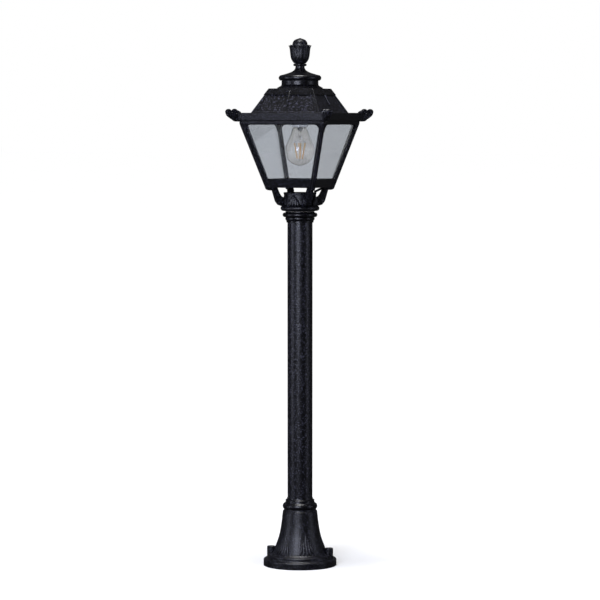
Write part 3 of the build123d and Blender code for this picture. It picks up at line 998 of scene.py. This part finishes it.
@dataclass
class Bowl(SubAssembly):
    """The cup on the spigot and the four brackets that carry the cage."""

    body: str = "lantern"
    bracket_width: float = 11.0
    frame_edge: float = 2.4         # breadth of the raised edge on a bracket's side
    frame_depth: float = 0.9

    def bracket(self) -> Piece:
        """One bracket, at the first corner: a curved arm with a scroll at its foot."""
        side = (Outline.at(31, 737).to((31, 721.5)).to((39, 721.2))
                .curve((45.5, 723.8), (51.2, 729.8), (54.7, 740), (57.8, 750), (60.8, 758))
                .to((49.7, 758)).curve((46.5, 750), (41.5, 741.5), (35, 737.5), steps=3))
        arm = slab("bracket", side, self.bracket_width, Plane.CORNER)
        with editing(arm):
            across = Vector((1, -1, 0)).normalized()
            select_where(arm, lambda middle, normal: abs(normal.dot(across)) > 0.9)
            bpy.ops.mesh.inset(thickness=self.frame_edge * MM, depth=0)
            bpy.ops.mesh.inset(thickness=0.4 * MM, depth=-self.frame_depth * MM,
                               use_even_offset=False)
        bevelled(arm, 0.9, segments=2, angle=40)
        return joined("bracket", [arm, *self.scroll()])

    def scroll(self) -> list[Piece]:
        """The rolled end of a bracket: a drum with a sunk eye on each side, and its curl."""
        parts = []
        across = Vector((1, -1, 0)).normalized()
        for radius, height, reach in ((42.5, 728.0, 5.6), (51.5, 750.5, 3.4)):
            middle = polar(radius, 45, height)
            half = across * (self.bracket_width / 2 + 1.1)
            drum = rod("drum", middle - half, middle + half, reach, sides=32)
            with editing(drum):
                select_where(drum, lambda place, normal: abs(normal.dot(across)) > 0.98)
                bpy.ops.mesh.inset(thickness=reach * 0.3 * MM, depth=0)
                bpy.ops.mesh.inset(thickness=reach * 0.12 * MM, depth=-1.1 * MM)
            parts.append(drum)
        return parts

    def shell(self, direction: float) -> list[Piece]:
        """A small fluted shell on the cup's side, between two brackets."""
        return [bead("flute", polar(36.6, direction + turn, 721.5),
                     polar(32.6, direction + turn * 0.6, 721.5 + length),
                     polar(1, direction + turn, 0.1), 6.4, 4.2)
                for turn, length in ((-19, 14), (-9.5, 19), (0, 22), (9.5, 19), (19, 14))]

    def build(self) -> None:
        """Makes the cup, its shells and the brackets, and dresses the wiring parts."""
        low, top = foot_of("lantern_cup"), top_of("lantern_cup")
        edge = radius_of("lantern_cup")
        cup = (Outline.at(18.05, low).to((29, low)).arc((29.2, 711.5), (30.3, 712.2), 3)
               .arc((edge, 716.8), (35.0, 721.5), 10).curve((32.6, 724.6), (31.7, 730),
                                                            (31.9, 738), (32.3, 745))
               .arc((32.9, 747.2), (32.2, top), 4).to((29, top), (29, 724), (18.05, 724)))
        parts = [turned("cup", cup)]
        for index in CORNERS:
            parts.extend(self.shell(90 * index))
        self.add(joined("cup", parts), Finish.RESIN, "lantern_cup")
        names = [f"scroll_bracket_{number}" for number in CORNER_NAMES]
        for piece, number in zip(ring_of(self.bracket(), names), CORNER_NAMES):
            self.add(piece, Finish.RESIN, f"bracket_{number}")
        self.keep(Finish.RESIN, "cup_cover", "lead_conduit")
        self.keep(Finish.NYLON, "terminal_block")


@dataclass
class Cage(SubAssembly):
    """The four-sided glazed cage: posts, rails, panes and floor."""

    body: str = "lantern"
    post_width: float = 7.6
    post_depth: float = 16.0
    arris: float = 3.1              # depth of the pointed outer edge of a corner post
    bottom_half: float = 52.5
    slope: float = 0.302            # growth of the cage's half width with height
    sill_foot: float = 758.0

    def reach(self, height: float) -> float:
        """How far the cage's corner is from the axis at a height."""
        return (self.bottom_half + self.slope * (height - self.sill_foot)) * math.sqrt(2)

    def corner_post(self) -> Piece:
        """One leaning post at the first corner, with an arris outside and a rounded foot."""
        low, top = foot_of("corner_post_1"), top_of("corner_post_1")
        side = (Outline.at(self.reach(low + 3), low + 3).to((self.reach(top), top))
                .to((self.reach(top) - self.post_depth, top))
                .to((self.reach(low) - self.post_depth + 3, low))
                .arc((self.reach(low) - 3.4, low + 0.2), (self.reach(low + 3), low + 3), 6))
        side.points.pop()
        post = slab("corner_post", side, self.post_width, Plane.CORNER)
        with editing(post):
            across = Vector((1, -1, 0)).normalized()

            def outer_edge(start: Vector, end: Vector) -> bool:
                """True for the long edges and the foot's edges on the outside."""
                same_side = abs((end - start).dot(across)) < 0.1
                outside = all(Vector(p.xy).length > self.reach(p.z) - 9 for p in (start, end))
                return same_side and outside and (start - end).length > 20

            select_edges(post, outer_edge)
            bpy.ops.mesh.bevel(offset=self.arris * MM, segments=1, affect="EDGES")
            bpy.ops.mesh.select_all(action="SELECT")
            bpy.ops.mesh.remove_doubles(threshold=SLIVER)
        return bevelled(post, 0.6, segments=2, angle=30)

    def build(self) -> None:
        """Makes the posts and rails, and dresses the panes."""
        names = [f"arris_post_{number}" for number in CORNER_NAMES]
        for piece, number in zip(ring_of(self.corner_post(), names), CORNER_NAMES):
            self.add(piece, Finish.RESIN, f"corner_post_{number}")
        for number in CORNER_NAMES:
            self.add(softened(f"sill_rail_{number}", f"sill_{number}", 0.8), Finish.RESIN,
                     f"sill_rail_{number}")
            self.add(softened(f"top_rail_{number}", f"window_head_{number}", 0.4),
                     Finish.RESIN, f"top_rail_{number}")
            self.add(softened(f"pane_{number}", f"glazing_{number}", 0.3), Finish.PANE,
                     f"pane_{number}", angle=10)
        self.keep(Finish.RESIN, "floor_plate")


@dataclass
class Eave(SubAssembly):
    """The square eave and the curled shells on its corners."""

    body: str = "lantern"
    shell_width: float = 12.0
    curl: float = 5.7               # radius of a curl

    def ornament(self) -> Piece:
        """One curled shell at the first corner."""
        side = (Outline.at(124, 889).to((131, 888.6)).curve((138.5, 889.4), (144.8, 894.5))
                .curve((151.4, 898.8), (156, 905)).to((153, 909))
                .curve((149, 907), (145, 907), (141, 909.5), (134, 911), (127, 907.5)))
        body = slab("shell_body", side, self.shell_width, Plane.CORNER)
        bevelled(body, 2.2, segments=3, angle=40)
        parts = [body]
        across = Vector((1, -1, 0)).normalized()
        curl = turned("curl", Outline.at(0, -5.2).to((2.6, -5.2)).arc((3.2, -6.6), (4.0, -7.8), 4)
                      .arc((5.2, -4.6), (self.curl, 0), 5).arc((5.2, 4.6), (4.0, 7.8), 5)
                      .arc((3.2, 6.6), (2.6, 5.2), 4).to((0, 5.2)), SMALL_STEPS)
        for radius, height in ((151.3, 908.0), (138.6, 908.3)):
            drum = turned_copy(curl, "curl", 0)
            parts.append(placed(drum, polar(radius, 45, height), across, Vector((0, 0, 1))))
        bpy.data.objects.remove(curl)
        for turn in (-1, 0, 1):
            start = polar(136, 45, 890.5) + across * turn * 4.4
            end = polar(155.5, 45, 903) + across * turn * 3.6
            parts.append(bead("flute", start, end, polar(0.6, 45, -1), 4.6, 4.4))
        return joined("shell", parts)

    def build(self) -> None:
        """Makes the eave and its four shells."""
        half, low, top = radius_of("eave_frame"), foot_of("eave_frame"), top_of("eave_frame")
        section = (Outline.at(84.5, low).to((91, low), (91, 902), (94.8, 902), (94.8, 891),
                                            (half - 0.8, 891), (half, 891.8), (half, top - 1.4))
                   .arc((half - 0.4, top - 0.4), (half - 1.4, top), 4)
                   .to((64, top), (64, 902), (87, 902), (87, 889), (84.5, 889)))
        eave = bevelled(mitred("eave", section), 0.7, segments=2, angle=50)
        self.add(eave, Finish.RESIN, "eave_frame")
        names = [f"curled_shell_{number}" for number in CORNER_NAMES]
        for piece, number in zip(ring_of(self.ornament(), names), CORNER_NAMES):
            self.add(piece, Finish.RESIN, f"corner_ornament_{number}")
        self.keep(Finish.STAINLESS, "roof_screws")


@dataclass
class Roof(SubAssembly):
    """The hipped roof with its sunk panels, and the round neck in its top."""

    body: str = "lantern"
    top_half: float = 46.5
    border: float = 6.5             # breadth of the raised border beside the hips
    top_band: float = 13.0          # breadth of the raised band under the roof's top
    sink: float = 1.2
    wall: float = 3.5
    neck_radius: float = 36.7
    hem_trim: float = 2.5           # how much narrower the border is along the eave
    steepness: float = 0.87         # how much of a slide down the slope is downward

    def shell(self) -> Piece:
        """The roof: a tapered block with sunk panels, hollowed and bored for the neck."""
        half, low, top = radius_of("roof_shell"), foot_of("roof_shell"), top_of("roof_shell")
        bpy.ops.mesh.primitive_cube_add(size=MM, location=(0, 0, (low + top) / 2 * MM),
                                        scale=(2 * half, 2 * half, top - low))
        roof = bpy.context.object
        bpy.ops.object.transform_apply(location=True, rotation=False, scale=True)
        with editing(roof):
            select_where(roof, lambda middle, normal: normal.z > 0.9)
            shrink = self.top_half / half
            bpy.ops.transform.resize(value=(shrink, shrink, 1), center_override=(0, 0, top * MM))
            select_where(roof, lambda middle, normal: abs(normal.z) < 0.9)
            bpy.ops.mesh.inset(thickness=self.border * MM, depth=0, use_individual=True)
            bpy.ops.mesh.inset(thickness=0.8 * MM, depth=-self.sink * MM, use_individual=True)
        reshaped(roof, self.lowered_band(low, top))
        with editing(roof):
            select_where(roof, lambda middle, normal: normal.z < -0.9)
            bpy.ops.mesh.delete(type="FACE")
        finished(roof, "SOLIDIFY", thickness=self.wall * MM, offset=-1)
        bpy.ops.mesh.primitive_cylinder_add(radius=self.neck_radius * MM, depth=30 * MM,
                                            location=(0, 0, top * MM), vertices=FINE_STEPS)
        bored(roof, bpy.context.object)
        bevelled(roof, 0.9, segments=3, angle=25)
        ribs = [self.spear()]
        ribs += [turned_copy(ribs[0], "spear", 90 * index) for index in (1, 2, 3)]
        return joined("hipped_roof", [roof, *ribs])

    def lowered_band(self, low: float, top: float) -> Callable[[Vector], Vector]:
        """A move that widens the panels' top border and narrows the bottom one.

        Args:
            low: The height of the roof's foot.
            top: The height of its top.

        Returns:
            A function from an old place to a new one.
        """
        def move(place: Vector) -> Vector:
            """Slides one point of a border along the roof's slope.

            Args:
                place: The point, in millimetres.

            Returns:
                Its new place.
            """
            inside = low + 1 < place.z < top - 1
            if not inside:
                return place
            drop = self.top_band - self.border
            if place.z <= (low + top) / 2:
                drop = self.border - self.hem_trim
            run = (radius_of("roof_shell") - self.top_half) / (top - low)
            out = max(abs(place.x), abs(place.y))
            return Vector((place.x * (out + drop * run) / out, place.y * (out + drop * run) / out,
                           place.z - drop * self.steepness))
        return move

    def band(self) -> Piece:
        """The smooth raised band round the roof's top."""
        half, low, top = radius_of("roof_shell"), foot_of("roof_shell"), top_of("roof_shell")
        run = (half - self.top_half) / (top - low)
        foot = top - self.top_band
        hem = self.top_half + run * self.top_band
        section = Outline.at(self.top_half - 1.2, top - 0.6).to(
            (self.top_half + 0.3, top + 0.2), (self.top_half + 1.1, top - 0.5),
            (hem + 0.9, foot + 0.6), (hem + 0.6, foot), (hem - 1.2, foot + 0.2))
        return bevelled(mitred("roof_band", section), 0.5, segments=2, angle=25)

    def spear(self) -> Piece:
        """The slim raised leaf down the middle of one panel."""
        low, top = foot_of("roof_shell"), top_of("roof_shell")
        half = radius_of("roof_shell")
        run = (half - self.top_half) / (top - low)

        def skin(height: float) -> Vector:
            """A point on the middle of the panel facing -Y."""
            return Vector((0, -(half - run * (height - low)), height))

        slope = Vector((0, -1, run))
        return bead("spear", skin(top - 3), skin(low + 14), slope, 6.2, 5.0)

    def build(self) -> None:
        """Makes the roof and dresses the neck."""
        self.add(self.shell(), Finish.ROOF_RESIN, "roof_shell")
        self.add(self.band(), Finish.TURNED_RESIN)
        self.keep(Finish.TURNED_RESIN, "roof_neck")
        self.keep(Finish.RUBBER, "neck_gasket")


@dataclass
class LampTray(SubAssembly):
    """The carrier in the neck and the lampholder that hangs from it."""

    body: str = "lamp_tray"

    def build(self) -> None:
        """Makes the holder and dresses the carrier."""
        low, top, edge = (foot_of("lampholder_body"), top_of("lampholder_body"), 17.0)
        body = (Outline.at(13.8, low).to((edge - 1.2, low)).arc((edge - 0.3, low + 0.4),
                                                               (edge, low + 1.6), 4)
                .to((edge, 889)).arc((edge - 0.5, 889.8), (edge, 890.6), 4).to((edge, 911))
                .curve((16, 918), (13.4, 922.5), (11, top)))
        body.points += [(0, top)]
        body.points = [(0, 910), (13.8, 910)] + body.points
        self.add(turned("lampholder", body, SMALL_STEPS), Finish.PORCELAIN, "lampholder_body")
        self.keep(Finish.BRASS, "lampholder_shell", "lampholder_contact")
        self.keep(Finish.RESIN, "lamp_carrier")
        self.keep(Finish.STAINLESS, "carrier_clip")


@dataclass
class Cap(SubAssembly):
    """The round cap and the bud finial on it."""

    body: str = "cap"
    petals: int = 6
    petal_wall: float = 1.6
    petal_weld: float = 0.05        # a petal's points nearer than this are one point

    def cap(self) -> Piece:
        """The cap: a beaded rim, a shallow cone, a short stem and the hub under it."""
        low, edge = 970.0, radius_of("roof_cap")
        section = (Outline.at(6.05, foot_of("roof_cap")).to((12, foot_of("roof_cap")), (12, low),
                                                            (38.9, low))
                   .arc((40.2, 970.5), (41.0, 971.4), 4).arc((edge, 975.0), (39.8, 979.7), 10)
                   .arc((38.8, 980.3), (37.6, 980.6), 3)
                   .curve((33.2, 981.7), (29.0, 983), (23.6, 984.6), (18.6, 986.4),
                          (13.6, 989.2), (10.7, 992), (9.4, 995), (9, 998.5))
                   .to((4, 998.5), (4, 985), (10, 980), (10, 962), (6.05, 962)))
        return turned("cap_dome", section)

    def petal(self, low: float, top: float, spread: float, outline: Outline,
              lift: float) -> Piece:
        """One pointed petal that follows the bud's side and curls out at its tip.

        Args:
            low: The height of its foot.
            top: The height of its tip.
            spread: Half of its widest breadth, in degrees.
            outline: The side that it follows.
            lift: How far its middle stands off that side.

        Returns:
            The petal, facing +X.
        """
        bpy.ops.mesh.primitive_grid_add(x_subdivisions=8, y_subdivisions=14, size=2 * MM)
        petal = bpy.context.object

        def move(place: Vector) -> Vector:
            """Lays one point of the flat grid on the bud's side.

            Args:
                place: The point, from -1 to 1 across the petal and along it.

            Returns:
                Its place on the petal.
            """
            share = (place.y + 1) / 2
            height = low + (top - low) * share
            breadth = spread * math.sin(math.pi * (0.16 + 0.84 * share) ** 0.8) ** 0.75
            crown = lift * (1 - place.x ** 2) * math.sin(math.pi * min(1, share * 1.15)) ** 0.5
            rib = 0.5 * math.exp(-(place.x * 5) ** 2) * (1 - share)
            return polar(outline.width_at(height) + crown + rib, place.x * breadth, height)

        reshaped(petal, move)
        with editing(petal):
            bpy.ops.mesh.remove_doubles(threshold=self.petal_weld * MM)
            bpy.ops.mesh.normals_make_consistent(inside=False)
        finished(petal, "SOLIDIFY", thickness=self.petal_wall * MM, offset=-1)
        return finished(petal, "SUBSURF", levels=1, render_levels=1)

    def bud(self) -> Piece:
        """The bud: a core, a row of pointed petals, a row between them and small foot leaves."""
        low, edge = foot_of("finial_cup"), radius_of("finial_cup")
        core = (Outline.at(0, low).to((3.95, low), (3.95, 1003.5), (9.4, 1003.5))
                .curve((10.6, 1006.5), (13.2, 1010), (15, 1016), (16.2, 1024), (17.2, 1032),
                       (18.4, 1038)).arc((18.0, 1040.3), (16.2, 1040.6), 5)
                .to((15, 1039), (0, 1039)))
        petal_side = (Outline.at(9.6, 1004).curve((12.6, 1008.5), (15.2, 1014), (16.6, 1022),
                                                  (17.8, 1030), (19.4, 1035.5), (edge - 0.1, 1041)))
        leaf_side = Outline.at(10, 1004.5).curve((13.6, 1009), (16.2, 1015), (16.9, 1022),
                                                 (17, 1026))
        inner_side = Outline.at(12, 1008).curve((15.6, 1018), (16.6, 1028), (19.6, 1041.6))
        parts = [turned("core", core, SMALL_STEPS * 2)]
        step = 360 / self.petals
        for low, top, spread, side, lift, start in (
                (1004.5, 1040.8, 27, petal_side, 1.4, 10), (1010, 1041.4, 24, inner_side, 0.6, 40),
                (1005, 1025.5, 19, leaf_side, 1.6, 40)):
            petal = self.petal(low, top, spread, side, lift)
            parts += [turned_copy(petal, "petal", start + step * index)
                      for index in range(self.petals)]
            bpy.data.objects.remove(petal)
        return joined("bud", parts)

    def build(self) -> None:
        """Makes the cap and its finial."""
        self.add(self.cap(), Finish.TURNED_RESIN, "roof_cap")
        low, top, edge = (foot_of("finial_ring"), top_of("finial_ring"),
                          radius_of("finial_ring"))
        ring = (Outline.at(4, low).to((edge - 2.5, low))
                .arc((edge, (low + top) / 2), (edge - 2.5, top), 10)
                .to((4, top)))
        self.add(turned("finial_bead", ring), Finish.TURNED_RESIN, "finial_ring")
        self.add(self.bud(), Finish.RESIN, "finial_cup", angle=50)
        dome = (Outline.at(0, 1039).to((15, 1039), (15, 1042))
                .curve((14.4, 1045), (12.6, 1048.2), (9.4, 1050.9), (5.4, 1052.4), (3.4, 1052.9))
                .arc((1.8, 1053.7), (0, top_of("finial_dome")), 5))
        self.add(turned("finial_knob", dome, SMALL_STEPS * 2), Finish.RESIN, "finial_dome")
        self.keep(Finish.RESIN, "bayonet_ring")


@dataclass
class Lamp(SubAssembly):
    """The clear filament lamp, which hangs cap-up."""

    body: str = "lamp"
    bulb: float = 30.0
    wall: float = 0.8
    filaments: int = 4

    def glass(self) -> Piece:
        """The bulb: a round body drawn up into a neck."""
        low = foot_of("lamp_glass")
        middle, inner = low + self.bulb, self.bulb - self.wall
        slant = math.sqrt(0.5)
        outside = (Outline.at(0, low).arc((self.bulb * slant, middle - self.bulb * slant),
                                          (self.bulb, middle), 18)
                   .curve((29.2, 838), (26.6, 845), (22, 855), (18.2, 864.6), (15.4, 872),
                          (14.6, 876)).arc((14.0, 877.3), (12.5, 877.6), 4).to((12.5, 884)))
        inside = (Outline.at(11.7, 884).to((11.7, 877), (13.8, 875.4))
                  .curve((14.6, 871.6), (17.4, 864.2), (21.3, 854.5), (25.8, 844.6),
                         (28.4, 838), (inner, middle))
                  .arc((inner * slant, middle - inner * slant), (0, middle - inner), 18))
        return turned("bulb", Outline(outside.points + inside.points), SMALL_STEPS * 2)

    def shell(self) -> Piece:
        """The screw cap: a thin shell whose side is rolled into rounded threads."""
        low, edge = foot_of("lamp_cap"), radius_of("lamp_cap")
        section = Outline.at(12.2, low).to((edge, low), (edge, low + 2))
        for turn in range(4):
            foot = low + 3.4 + turn * 3.6
            section.arc((edge, foot + 0.9), (edge - 1.1, foot + 2.0), 6)
            section.arc((edge - 1.3, foot + 2.6), (edge - 1.1, foot + 3.2), 4)
        section.to((edge - 0.9, 900.2), (11.6, 902), (0, 902))
        section.points = [(0, 901.2), (11.2, 901.2), (11.9, 899)] + section.points
        return turned("screw_cap", section, SMALL_STEPS)

    def mount(self) -> Piece:
        """The glass stem: a flare in the neck, a pinch with two leads, and a rod."""
        low = foot_of("lamp_stem")
        section = (Outline.at(0, low + 0.8).arc((0.6, low + 0.1), (1.1, low + 0.9), 4)
                   .to((1.1, 855)).curve((1.6, 857.5), (3.0, 860.5), (3.3, 866), (4.2, 872),
                                         (8, 877.5), (10.5, 880.5)).to((10.5, 881), (0, 881)))
        return turned("glass_stem", section, SMALL_STEPS)

    def wires(self) -> Piece:
        """The support wires: a cross above the filaments, a hub below and the two leads."""
        parts = []
        for index in range(self.filaments):
            turn = 31 + 360 / self.filaments * index
            parts.append(rod("arm", polar(0.8, turn, 850.4), polar(10.6, turn, 848.6), 0.55, 8))
            parts.append(rod("drop", polar(10.6, turn, 848.8), polar(10.5, turn, 845.6), 0.5, 8))
            parts.append(rod("foot", polar(5.2, turn, 815.2), polar(0.9, turn, 812.6), 0.5, 8))
        for turn in (31, 211):
            parts.append(rod("lead", polar(3.2, turn, 874), polar(2.6, turn, 862), 0.5, 8))
            parts.append(rod("lead", polar(2.6, turn, 862), polar(4.4, turn, 849.6), 0.5, 8))
        return joined("support_wires", parts)

    def build(self) -> None:
        """Makes the lamp."""
        self.add(self.glass(), Finish.GLASS, "lamp_glass")
        self.add(self.mount(), Finish.GLASS, "lamp_stem")
        self.add(self.shell(), Finish.NICKEL, "lamp_cap")
        sticks = []
        for index in range(self.filaments):
            turn = 31 + 360 / self.filaments * index
            sticks.append(rod("stick", polar(5.2, turn, 815), polar(10.5, turn, 846), 1.25, 16))
        self.add(joined("filament_sticks", sticks), Finish.PHOSPHOR, "lamp_filaments")
        self.add(self.wires(), Finish.STAINLESS)
        self.keep(Finish.BRASS, "lamp_contact")


# ---------------------------------------------------------------------------------------------
# Studio
# ---------------------------------------------------------------------------------------------
@dataclass
class Studio:
    """The pale floor, the soft lights and the camera."""

    azimuth: float = 23.5           # degrees that the camera stands to the right of -Y
    distance: float = 5424.0
    eye: float = 895.0              # the camera's height
    aim: float = 533.0              # the height that it looks at
    lens: float = 163.3
    far: float = 200.0              # metres, past which the camera sees nothing
    floor_half: float = 60000.0     # so wide that its edge never shows
    lamp_distance: float = 2600.0
    lamp_aim: float = 600.0         # the height that the soft boxes look at
    sun_strength: float = 3.3
    sun_spread: float = 24.0        # degrees, for soft shadows
    cool: str = "#E4E9FF"           # the soft boxes' tint
    ambient: float = 0.05           # strength of the light from all round

    def camera(self) -> None:
        """A long lens at the eave's height, tipped down a little."""
        camera = bpy.data.objects.new("camera", bpy.data.cameras.new("camera"))
        bpy.context.scene.collection.objects.link(camera)
        camera.data.lens = self.lens
        camera.data.clip_end = self.far
        camera.location = polar(self.distance, self.azimuth - 90, self.eye) * MM
        aim = Vector((0, 0, self.aim)) * MM
        camera.rotation_euler = (aim - camera.location).to_track_quat("-Z", "Y").to_euler()
        bpy.context.scene.camera = camera

    def floor(self) -> None:
        """A pale matt floor."""
        bpy.ops.mesh.primitive_plane_add(size=2 * self.floor_half * MM)
        floor = bpy.context.object
        floor.name = "studio_floor"
        material, tree = new_material("pale_floor")
        mottle = grain(tree, 400.0)
        colour = add_node(tree, "ShaderNodeMix",
                          {"Factor": mottle, 6: linear("#FAFAFA"), 7: linear("#FEFEFE")},
                          data_type="RGBA")
        shader = add_node(tree, "ShaderNodeBsdfPrincipled",
                          {"Base Color": colour.outputs[2], "Roughness": 0.9})
        add_node(tree, "ShaderNodeOutputMaterial", {"Surface": shader.outputs["BSDF"]})
        floor.data.materials.append(material)
        floor.visible_glossy = False
        floor.visible_diffuse = False

    def lamp(self, name: str, turn: float, height: float, width: float, length: float,
             power: float) -> None:
        """A soft box, upright, that looks at the lantern from a direction.

        Args:
            name: The light's name.
            turn: Where it stands, in degrees round the post.
            height: The height of its middle, in millimetres.
            width: Its breadth.
            length: Its height from edge to edge.
            power: Its power in watts.
        """
        light = bpy.data.lights.new(name, "AREA")
        light.shape = "RECTANGLE"
        light.size = width * MM
        light.size_y = length * MM
        light.energy = power
        light.color = linear(self.cool)[:3]
        stand = bpy.data.objects.new(name, light)
        bpy.context.scene.collection.objects.link(stand)
        stand.location = polar(self.lamp_distance, turn, height) * MM
        aim = Vector((0, 0, self.lamp_aim)) * MM - stand.location
        stand.rotation_euler = aim.to_track_quat("-Z", "Y").to_euler()

    def build(self) -> None:
        """Sets the stage."""
        self.camera()
        self.floor()
        facing = self.azimuth - 90
        self.lamp("key_light", facing - 18, 1300, 900, 1400, 52)
        self.lamp("left_light", facing - 74, 900, 450, 2200, 15)
        self.lamp("right_light", facing + 72, 900, 450, 2200, 9)
        sun = bpy.data.lights.new("top_light", "SUN")
        sun.energy = self.sun_strength
        sun.angle = math.radians(self.sun_spread)
        mast = bpy.data.objects.new("top_light", sun)
        bpy.context.scene.collection.objects.link(mast)
        mast.rotation_euler = polar(1, facing - 20, 12).to_track_quat("Z", "Y").to_euler()
        self.backdrop()

    def backdrop(self) -> None:
        """White behind the lantern, and softer light from all round on it."""
        world = bpy.data.worlds.new("studio")
        world.use_nodes = True
        tree = world.node_tree
        tree.nodes.clear()
        rays = add_node(tree, "ShaderNodeLightPath")
        either = add_node(tree, "ShaderNodeMath",
                          {0: rays.outputs["Is Camera Ray"],
                           1: rays.outputs["Is Transmission Ray"]}, operation="MAXIMUM")
        seen = add_node(tree, "ShaderNodeBackground",
                        {"Color": linear("#FFFFFF"), "Strength": 1.0})
        felt = add_node(tree, "ShaderNodeBackground",
                        {"Color": linear("#FFFFFF"), "Strength": self.ambient})
        both = add_node(tree, "ShaderNodeMixShader",
                        {0: either.outputs["Value"], 1: felt.outputs["Background"],
                         2: seen.outputs["Background"]})
        add_node(tree, "ShaderNodeOutputWorld", {"Surface": both.outputs["Shader"]})
        bpy.context.scene.world = world
        bpy.context.scene.view_settings.view_transform = "Standard"


def main() -> None:
    """Builds the studio and every sub-assembly."""
    logging.basicConfig(level=logging.INFO, format="%(name)s %(message)s")
    Studio().build()
    for assembly in (Foot(), Post(), Bowl(), Cage(), Eave(), Roof(), LampTray(), Cap(), Lamp()):
        assembly.build()


if __name__ == "__main__":
    main()
